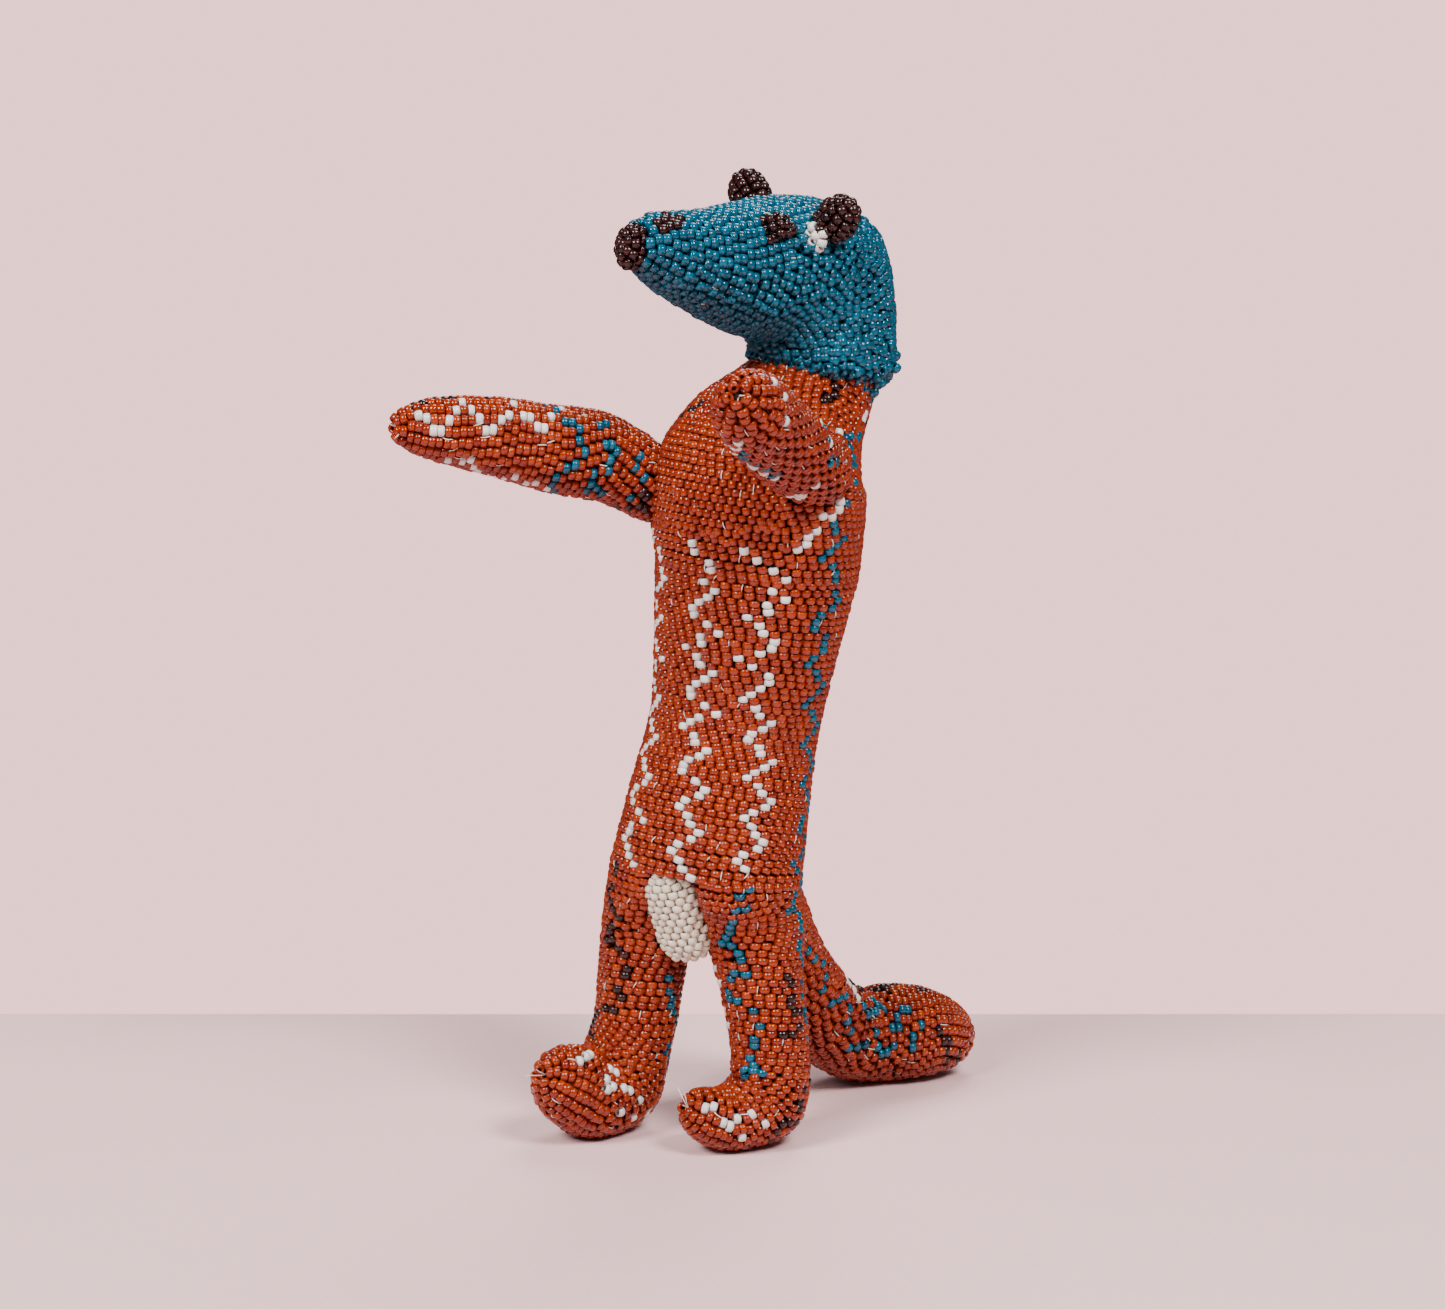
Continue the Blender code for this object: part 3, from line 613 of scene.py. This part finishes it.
def meet_belly(beads, reach=11.0):
    """Eases the top of a leg out, or in, to the belly's own outline, so that the seam runs on smoothly."""
    hip = np.array(HIP + STANCE)
    across = np.array(HIP_ACROSS)
    depth = np.cross(np.array(HIP_NORMAL), across)
    offset = beads.place - hip
    u, v = offset @ across, offset @ depth
    round_hip = np.hypot(u / (HIP_HALF_WIDTH - WALL / 2), v / (HIP_HALF_DEPTH - WALL / 2))
    edge = np.clip((round_hip - 0.70) / 0.2, 0, 1) * np.clip(1 - beads.along / reach, 0, 1) ** 0.7
    grow = (1 / np.maximum(round_hip, 0.5) - 1) * edge
    beads.columns["place"] = beads.place + (u * grow)[:, None] * across + (v * grow)[:, None] * depth
    return beads


left_leg = meet_belly(lay_close(sleeve(leg_sections(1, LEFT_LEG)), "orange", start=90.0))
right_leg = meet_belly(lay_close(sleeve(leg_sections(-1, RIGHT_LEG)), "orange", start=90.0))
line(left_leg, "teal", (0, -4), (12, -8), (26, -44), (36, -52))
line(left_leg, "teal", (1, 66), (5, 58), (11, 93), (20, 74), (26, 100), (31, 70))
line(left_leg, "teal", (34, 62), (41, 48), (47, 66), (56, 66))
line(left_leg, "brown", (23, 8), (28, -4), (31, -28), (36, 12))
line(left_leg, "white", (24, 138), (31, 128), (38, 128))
line(left_leg, "brown", (42, -70), (50, -44), (58, -36), (62, -58))
spot(left_leg, "white", (77, 32), (78, 18), (65, 14), (72, -6), (66, 9))
spot(left_leg, "white", (70, 22), (63, -4), (74, 8), (68, -14))
line(right_leg, "brown", (1, 135), (8, 112), (18, 108), (26, 66), (33, 96), (39, 128), (44, 110), swing=1.6)
line(right_leg, "teal", (27, 10), (34, -26), (38, -44), (45, -40))
spot(right_leg, "white", (77, 72), (74, 31), (65, 24), (63, 10), (59, -8), (82, 48), (58, -48), (70, 52))
spot(right_leg, "white", (79, 60), (68, -12), (62, -28), (75, 14), (71, 22), (66, 40))
line(right_leg, "teal", (2, 178), (14, 186), (28, 214), (40, 226))

# ---- Arms and tail
# Three round, stuffed sleeves grow out of ball-shaped roots, taper, and close like the feet. A row holds
# x, y, z and the radius.
ARM_ROOT_RADIUS, TAIL_ROOT_RADIUS = 7.4, 9.0
LEFT_ARM = [
    (20.1, -11.5, 136.1, 7.9),
    (21.1, -19.6, 139.1, 7.9),
    (22.2, -28.0, 142.4, 7.8),
    (23.4, -36.0, 145.6, 7.6),
    (23.9, -40.6, 147.6, 7.1),
    (24.4, -44.5, 149.3, 5.2),
    (24.7, -46.4, 150.1, 3.0),
    (24.8, -47.2, 150.5, 0.8),
]
RIGHT_ARM = [
    (-21.6, -0.6, 130.6, 8.1),
    (-25.0, -4.0, 132.6, 8.7),
    (-28.6, -7.6, 133.6, 8.8),
    (-33.0, -12.0, 134.9, 8.3),
    (-37.4, -16.4, 136.5, 7.9),
    (-42.2, -21.2, 137.9, 7.2),
    (-47.0, -26.0, 138.9, 6.3),
    (-50.6, -29.6, 139.4, 4.8),
    (-52.7, -31.7, 139.5, 2.9),
    (-53.6, -32.6, 139.5, 0.8),
]
TAIL = [
    (2.6, 20.8, 32.0, 8.7),
    (5.2, 26.0, 23.0, 8.8),
    (8.0, 32.5, 15.3, 9.2),
    (11.3, 39.5, 10.4, 9.6),
    (15.4, 44.5, 9.9, 10.1),
    (20.4, 48.4, 9.6, 9.8),
    (24.4, 52.2, 8.6, 8.4),
    (26.6, 55.8, 7.0, 6.2),
    (27.6, 57.7, 6.0, 3.6),
    (28.1, 58.7, 5.5, 0.8),
]


def limb(root, root_radius, rows, turn):
    """The sleeve of a limb that starts inside a socket."""
    root = Vector(root)
    start = (Vector(rows[0][:3]) - root).normalized()
    points = [root + start * root_radius * share for share in (-0.72, -0.40, 0.0)]
    points += [Vector(row[:3]) for row in rows]
    radii = [0.70 * root_radius, 0.92 * root_radius, root_radius, *(row[3] for row in rows)]
    return sleeve(square_to_path(points, [turn] * len(points), [(radius, radius) for radius in radii]))


left_arm = lay_close(limb((18.6, 0.8, 131.6), ARM_ROOT_RADIUS, LEFT_ARM, 5), "orange")
right_arm = lay_close(limb((-17.0, 4.0, 126.6), ARM_ROOT_RADIUS, RIGHT_ARM, -45), "orange")
tail = lay_close(limb((0.5, 17.0, 41.5), TAIL_ROOT_RADIUS, TAIL, -25), "orange")
left_arm = left_arm.only(left_arm.along > 1.0)
right_arm = right_arm.only(right_arm.along > 1.0)
zigzag(right_arm, "white", [(30, 58), (41, 40), (50, 33), (61, 24)], swing=1.5, period=7)
line(right_arm, "white", (32, -62), (40, -80), (48, -72), (54, -58))
line(right_arm, "teal", (35, 70), (29, 52), (28, 20), (28, 0), (30, -40), (30, -90), swing=1.4)
line(right_arm, "teal", (24, 60), (24, 44), (19, 14), (24, -24), (18, -70), swing=1.4)
line(right_arm, "teal", (15, 8), (9, -12), (12, -40))
line(right_arm, "brown", (60, 90), (52, 104), (44, 96))
# The brown beads under the root of the right arm are painted shade: dark beads laid where shade falls under
# the arm.
line(right_arm, "brown", (10, -30), (6, -52), (12, -74))
line(left_arm, "white", (53, 30), (50, 18), (48, -14))
line(left_arm, "white", (50, -108), (44, -122), (36, -110), (30, -84), swing=0.8)
line(left_arm, "teal", (46, -112), (38, -104), (33, -90), (30, -72), swing=0.8)
line(left_arm, "white", (19, -70), (13, -88), (16, -100))
spot(left_arm, "white", (24, 43), (21, 14), (21, -5))
line(left_arm, "teal", (40, 100), (32, 130), (24, 110), (16, 140))
line(left_arm, "teal", (24, 20), (20, 2), (14, -20))
side_line = [(8, -20), (21, -16), (30, -10), (39, -30), (50, -36), (59, -46), (67, -32), (74, -18)]
line(tail, "teal", *side_line, swing=1.7, step=2.6)
line(tail, "teal", (38, 2), (46, 12), (56, 8), (66, -8), (72, 8), swing=1.7, step=2.6)
line(tail, "teal", (20, 150), (36, 166), (52, 150), (68, 160), swing=1.5)
line(tail, "white", (36, -50), (41, -58), (45, -66))
line(tail, "brown", (38, -64), (44, -76), (50, -70))
line(tail, "brown", (77, 2), (80, -6), (82, 30), (85, 44), swing=1.4)
line(tail, "brown", (60, -84), (68, -96), (76, -80))


# ---- Groin patch, and stringing the limbs
# A pale patch of cream beads, in rows, is sewn between the thighs. The legs give way to it and to the
# tail. Each limb's beads are then made into pieces, with its thread.
GROIN_SIZE = (5.9, 3.6, 9.8)  # half width, half depth and half height
groin_centre = HIP + Vector((-1.6, -10.0, -7.0))
patch_up = Vector((-0.16, -0.30, 1.0)).normalized()
patch_axes = (SIDEWAYS, patch_up.cross(SIDEWAYS), patch_up)
groin = pad_sleeve(groin_centre, patch_axes, GROIN_SIZE, low=-0.95, blunt=4)
groin = lay(groin, "cream", width=2.0, length=1.5, drop=1, last=0.6)
string_up("groin", groin, "torso", "groin_patch")
left_leg = apart(apart(left_leg, tail, 1.1), groin, 1.0)
right_leg = apart(apart(right_leg, tail, 1.1), groin, 1.0)
string_up("left_leg", left_leg, "torso", "left_leg_skin")
string_up("right_leg", right_leg, "torso", "right_leg_skin")
for name, beads in (("left_leg", left_leg), ("right_leg", right_leg)):
    stitches(name, beads, "torso")
    thread_tails(name, beads, "torso")
string_up("left_arm", left_arm, "left_arm", "left_arm_skin")
string_up("right_arm", right_arm, "right_arm", "right_arm_skin")
string_up("tail", tail, "tail", "tail_skin")
for name, beads in (("left_arm", left_arm), ("right_arm", right_arm), ("tail", tail)):
    stitches(name, beads, name)
    thread_tails(name, beads, name)

# ---- Belly and chest
# The belly's rings of large beads carry three white zigzags in front, teal ones at the sides and brown
# ones behind. The chest has a panel of smaller, squarer beads. The shoulders have large ones again.
PANEL_ENDS = (6, 21)
PANEL_SIDES = (-176, -45)
PANEL_ROW = 1.55  # from the panel's lowest beads to those below


def in_front(beads):
    return (beads.angle > PANEL_SIDES[0]) & (beads.angle < PANEL_SIDES[1])


belly = lay_close(sleeve(torso[:5]), "orange", start=-86.0)
zigzag(belly, "white", [(0, -129), (17, -143), (34, -150), (64, -142)])
zigzag(belly, "white", [(0, -86), (24, -100), (64, -97)])
zigzag(belly, "white", [(3, -46), (23, -51), (40, -58), (64, -57)])
zigzag(belly, "teal", [(0, 6), (7, 5), (29, -2), (52, -17), (64, -18)])
zigzag(belly, "teal", [(0, -176), (29, -188), (52, -180), (64, -176)])
zigzag(belly, "brown", [(0, 62), (64, 66)])
zigzag(belly, "brown", [(0, 118), (64, 122)])
upper = sleeve(torso[4:])
panel = lay(upper, "orange", width=1.78, length=1.62, drop=1, start=-86.0)
panel = panel.only(in_front(panel) & (panel.along > PANEL_ENDS[0]) & (panel.along < PANEL_ENDS[1]))
shoulders = lay_close(upper, "orange", width=2.1, length=1.5, start=-60.0)

# The rings under the panel are spread a little, so that the last of them meets it without a gap.
first = panel.along.min()
below = in_front(shoulders) & (shoulders.along < first - 0.75)
last = shoulders.along[below].max()
rise = (first - last - PANEL_ROW) * shoulders.along[below] / last
shoulders.place[below] += shoulders.bore[below] * rise[:, None]
shoulders = apart(shoulders, panel, 0.95)
zigzag(shoulders, "white", [(0, -142), (7, -140)])
zigzag(shoulders, "white", [(0, -97), (7, -94)])
zigzag(shoulders, "white", [(0, -58), (9, -59)])
zigzag(shoulders, "teal", [(0, -18), (8, -13), (20, -8), (30, 2), (46, 14)])
zigzag(shoulders, "teal", [(0, -176), (20, -186), (46, -200)])
zigzag(shoulders, "brown", [(0, 66), (40, 60), (62, 40)])
zigzag(shoulders, "brown", [(0, 122), (62, 130)])
line(shoulders, "brown", (60, -46), (57, -40), (54, -30), (48, -22), (44, -30), swing=1.4)
line(shoulders, "brown", (36, -110), (33, -116), (30, -128))
line(shoulders, "white", (57, 28), (54, 34), (50, 30), swing=0.6)
line(shoulders, "white", (18, -12), (13, -17), (10, -34), (5, -40), swing=1.4)
line(shoulders, "white", (40, -14), (37, -6), (33, -16), (30, -8), swing=1.4)
for name, limb_beads in (("left_arm", left_arm), ("right_arm", right_arm)):
    shoulders = apart(clear_of(shoulders, f"{name}_stuffing", -0.8), limb_beads, 1.15)
    panel = apart(clear_of(panel, f"{name}_stuffing", -0.8), limb_beads, 1.1)

# The seat closes the belly's underside behind the legs, round the root of the tail.
SEAT_SIZE = (18.4, 15.2, 8.0)
SEAT_FRONT = 4.0
seat_axes = (SIDEWAYS, SIDEWAYS.cross(HIP_NORMAL), -HIP_NORMAL)
seat = lay(pad_sleeve(HIP, seat_axes, SEAT_SIZE, low=0.02), "orange")
seat = seat.only(seat.place[:, 1] > SEAT_FRONT)
for limb_beads in (left_leg, right_leg, tail):
    seat = apart(seat, limb_beads, 1.3)
for name in ("left_leg", "right_leg", "tail"):
    seat = clear_of(seat, f"{name}_stuffing", 0.6)
string_up("seat", seat, "torso", "belly_skin")
string_up("belly", apart(belly, tail, 1.1), "torso", "belly_skin")
string_up("chest", panel, "torso", "shoulder_skin")
string_up("shoulder", shoulders, "torso", "shoulder_skin")
for name, beads in (("belly", belly), ("chest", panel), ("shoulder", shoulders)):
    stitches(name, beads, "torso", 0.035)

# ---- Head
# The teal hood is one skin, from the collar to the nose. The nose, eyes and ears are clusters of beads
# sewn on. A row of the hood holds the throat and crown, as (forward, up), and the half width.
HEAD_FRONT = Vector((-0.42, -0.908, 0.0)).normalized()
HEAD_LEFT = Vector((0.908, -0.42, 0.0)).normalized()
HOOD = [
    ((16.1, 155.2), (-13.5, 150.3), 14.4),
    ((17.0, 155.4), (-13.7, 158.4), 13.9),
    ((17.8, 155.5), (-13.0, 167.4), 13.6),
    ((18.8, 155.6), (-8.5, 177.0), 13.5),
    ((20.5, 155.7), (3.0, 181.4), 13.4),
    ((23.5, 156.2), (14.0, 182.3), 12.9),
    ((28.0, 158.2), (24.0, 181.3), 11.6),
    ((34.5, 161.2), (32.5, 180.2), 10.0),
    ((40.7, 164.7), (40.4, 180.2), 8.2),
    ((45.5, 168.2), (46.0, 178.9), 6.0),
    ((48.3, 170.8), (49.0, 176.9), 4.0),
]


def head_point(forward, up, left=0.0):
    return Vector((NECK.x, NECK.y, up)) + HEAD_FRONT * (forward - 1.9) + HEAD_LEFT * left


hood_sections = [[*(NECK + NECK_AXIS * rise), *NECK_AXIS, *HEAD_LEFT, 14.5, 14.5] for rise in (0.0, 2.0)]
for throat, crown, wide in HOOD:
    low, high = head_point(*throat), head_point(*crown)
    normal = HEAD_LEFT.cross(low - high).normalized()
    hood_sections.append([*((low + high) / 2), *normal, *HEAD_LEFT, wide, (high - low).length / 2])
hood = lay_close(sleeve(hood_sections), "teal", width=2.05, length=1.62, start=0.0)
hood = on_skin(hood, "head_hood", 2.6)

# The hood bends sharply, so short rings of spare beads fill the holes left between its rings, and fill
# them more closely on the nape.
spares = lay(sleeve(hood_sections), "teal", width=2.05, length=0.7, start=40.0)
spares.columns["half"] = spares.half * 2.1
hood = fill(hood, spares, 1.15)
nape = (spares.along < 8) & (spares.angle > 30) & (spares.angle < 170)
hood = fill(hood, spares.only(nape), 0.92)
hood.columns["place"] = hood.place + CHANCE.normal(0, 0.10, hood.place.shape)
hood.columns["radius"] = hood.radius * 1.06

# Half sizes along, across and out from the hood, and for each ear its direction to the side and up, how
# far out it stands, and how high the pale beads of its lining reach.
NOSE_SIZE = (3.7, 4.6, 2.5)
EYE_SIZE = (3.0, 2.8, 1.5)
EAR_SIZE = (3.8, 4.2, 4.8)
LINING_SIZE = (1.6, 3.0, 2.4)
EARS = {"left": (0.83, 0.56, 16.6, -2.0), "right": (0.66, 0.75, 17.6, -5.4)}
EYE_ROOT = head_point(21.0, 169.6)
EAR_ROOT = head_point(10.6, 169.0)
nose_up = (HEAD_FRONT + Vector((0, 0, 0.2))).normalized()
nose_side = nose_up.cross(HEAD_LEFT)
nose = pad_sleeve(head_point(48.2, 173.8), (HEAD_LEFT, nose_side, nose_up), NOSE_SIZE)
nose = lay(nose, "brown", width=1.9, length=1.5, depth=0.9, last=0.4, crowd=0.7)
string_up("nose", nose, "head", "nose_beads")
hood = clear_of(hood, "nose_beads", 0.3)
for side, direction in (("left", 1), ("right", -1)):
    eye_out = (HEAD_LEFT * direction * 0.80 + Vector((0, 0, 0.60))).normalized()
    axes = (HEAD_FRONT, eye_out.cross(HEAD_FRONT), eye_out)
    eye = pad_sleeve(EYE_ROOT + eye_out * 12.3, axes, EYE_SIZE, 0.0)
    eye = lay(eye, "brown", width=1.8, length=1.3, depth=0.5, last=0.4)
    string_up(f"{side}_eye", eye, "head", f"{side}_eye")
    lateral, upward, reach, pale_height = EARS[side]
    out = (HEAD_LEFT * direction * lateral + Vector((0, 0, upward)) - HEAD_FRONT * 0.05).normalized()
    ear_centre = EAR_ROOT + out * reach
    fore = (HEAD_FRONT - out * HEAD_FRONT.dot(out)).normalized()
    axes = (fore, out.cross(fore), out)
    ear = pad_sleeve(ear_centre, axes, EAR_SIZE)
    ear = lay(ear, "brown", width=2.0, length=1.6, depth=0.7, last=0.4)
    lining = pad_sleeve(ear_centre + fore * 3.4 - out * 3.0 - Vector((0, 0, 1.8)), axes, LINING_SIZE)
    lining = clear_of(lay(lining, "white", width=2.0, length=1.6, depth=0.6, last=0.4), f"{side}_ear", 0.2)
    rise = (lining.place - np.array(ear_centre + STANCE)) @ np.array(out)
    lining.colour[rise > pale_height] = "brown"
    string_up(f"{side}_ear", ear, "head", f"{side}_ear")
    string_up(f"{side}_ear_lining", lining, "head", f"{side}_ear_lining")
    patch(hood, "brown", EYE_ROOT + eye_out * 12.0 + STANCE, 3.4)
    for pad in ("eye", "ear", "ear_lining"):
        hood = clear_of(hood, f"{side}_{pad}", 0.1)
patch(hood, "brown", head_point(42.0, 178.2, 3.2) + STANCE, 2.7)
string_up("hood", hood, "head", "head_hood")
stitches("hood", hood, "head", 0.016)

# ---- Stuffing
# Each skin is filled with a cotton bag of wadding, rounded here from the CAD solid that it stands for. The
# wires of the armature run inside, and are drawn as the CAD solids are.
for name, thing in list(frame["nodes"].items()):
    body = thing["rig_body"]
    if name.endswith("_wire"):
        thing.data.materials.clear()
        thing.data.materials.append(WIRE)
    if not name.endswith("_stuffing"):
        continue
    bag = thing.copy()
    bag.parent = None
    bag.data = thing.data.copy()
    bag.name = name.replace("stuffing", "bag")
    for key in list(bag.keys()):
        del bag[key]
    bpy.context.scene.collection.objects.link(bag)
    bag.data.materials.clear()
    bag.data.materials.append(BLUE_CLOTH if name.startswith("head") else CLOTH)
    merged = bmesh.new()
    merged.from_mesh(bag.data)
    bmesh.ops.remove_doubles(merged, verts=merged.verts, dist=1e-6)
    ways = {"use_axis_x": True, "use_axis_y": True, "use_axis_z": True}
    bmesh.ops.smooth_vert(merged, verts=merged.verts, factor=0.3, **ways)
    merged.to_mesh(bag.data)
    merged.free()
    bag.data.shade_smooth()
    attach(bag, body)
    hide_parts(name)

# ---- Stage, light and camera
# A pale table whose far edge runs just behind the figure, two softboxes and a weak fill. The world is a
# pale wall to look at, and gives only a little light, as a dark studio does.
VIEW_TURN = 25.0


def seen_from(turn, rise, distance):
    """A place this far to the right of the camera and above the ground, from the figure."""
    a, e = math.radians(VIEW_TURN + turn), math.radians(rise)
    return Vector((math.sin(a) * math.cos(e), -math.cos(a) * math.cos(e), math.sin(e))) * distance


TABLE_SIZE = (2.4, 1.2, 0.03)
FAR_EDGE = 0.075  # how far behind the figure the table ends
bm = bmesh.new()
bmesh.ops.create_cube(bm, size=1.0)
bmesh.ops.scale(bm, vec=TABLE_SIZE, verts=bm.verts)
bmesh.ops.translate(bm, vec=(0, FAR_EDGE - TABLE_SIZE[1] / 2, -TABLE_SIZE[2] / 2), verts=bm.verts)
bmesh.ops.rotate(bm, matrix=Matrix.Rotation(math.radians(VIEW_TURN), 3, "Z"), verts=bm.verts)
edges = [edge for edge in bm.edges if all(vert.co.z > -0.001 for vert in edge.verts)]
bmesh.ops.bevel(bm, geom=edges, offset=0.004, segments=4, profile=0.5, affect="EDGES")
table = bpy.data.meshes.new("table")
bm.to_mesh(table)
bm.free()
TABLE, table_tree, feed_table = new_finish("pale_laminate", Roughness=0.85)
place = node(table_tree, "TexCoord", {}, out="Object")
fleck = node(table_tree, "TexNoise", {"Vector": place, "Scale": 700.0, "Detail": 3.0}, out="Fac")
feed_table("Base Color", blend_of(table_tree, fleck, (0.72, 0.455, 0.45), (0.79, 0.50, 0.495)))
feed_table("Normal", node(table_tree, "Bump", {"Height": fleck, "Strength": 0.15, "Distance": 0.0004}))
table.materials.append(TABLE)
floor = bpy.data.objects.new("table", table)
bpy.context.scene.collection.objects.link(floor)


def add_light(name, place, size, power, target=(0, 0, 0.1)):
    lamp = bpy.data.lights.new(name, "AREA")
    lamp.shape = "RECTANGLE"
    lamp.size, lamp.size_y = size
    lamp.energy = power
    thing = bpy.data.objects.new(name, lamp)
    thing.location = place
    thing.rotation_euler = (Vector(target) - Vector(place)).to_track_quat("-Z", "Y").to_euler()
    bpy.context.scene.collection.objects.link(thing)


add_light("left_softbox", seen_from(-46, 44, 1.1), (0.34, 0.34), 15.0)
add_light("right_softbox", seen_from(40, 50, 1.1), (0.34, 0.34), 15.0)
add_light("rear_fill", seen_from(165, 55, 1.3), (0.6, 0.6), 10.0)
world = bpy.data.worlds.new("studio")
bpy.context.scene.world = world
world.use_nodes = True
seen = node(world.node_tree, "LightPath", {}, out="Is Camera Ray")
wall = blend_of(world.node_tree, seen, (0.13, 0.13, 0.14), (2.2, 1.24, 1.24))
world.node_tree.links.new(wall.socket, world.node_tree.nodes["Background"].inputs["Color"])

lens = bpy.data.cameras.new("camera")
lens.lens = 85.5
lens.sensor_width = 36.0
camera = bpy.data.objects.new("camera", lens)
bpy.context.scene.collection.objects.link(camera)
target = (STANCE + Vector((0, 0, 95.0))) * 0.001
camera.location = target + seen_from(0, 10, 0.660)
camera.rotation_euler = (target - camera.location).to_track_quat("-Z", "Y").to_euler()
bpy.context.scene.camera = camera
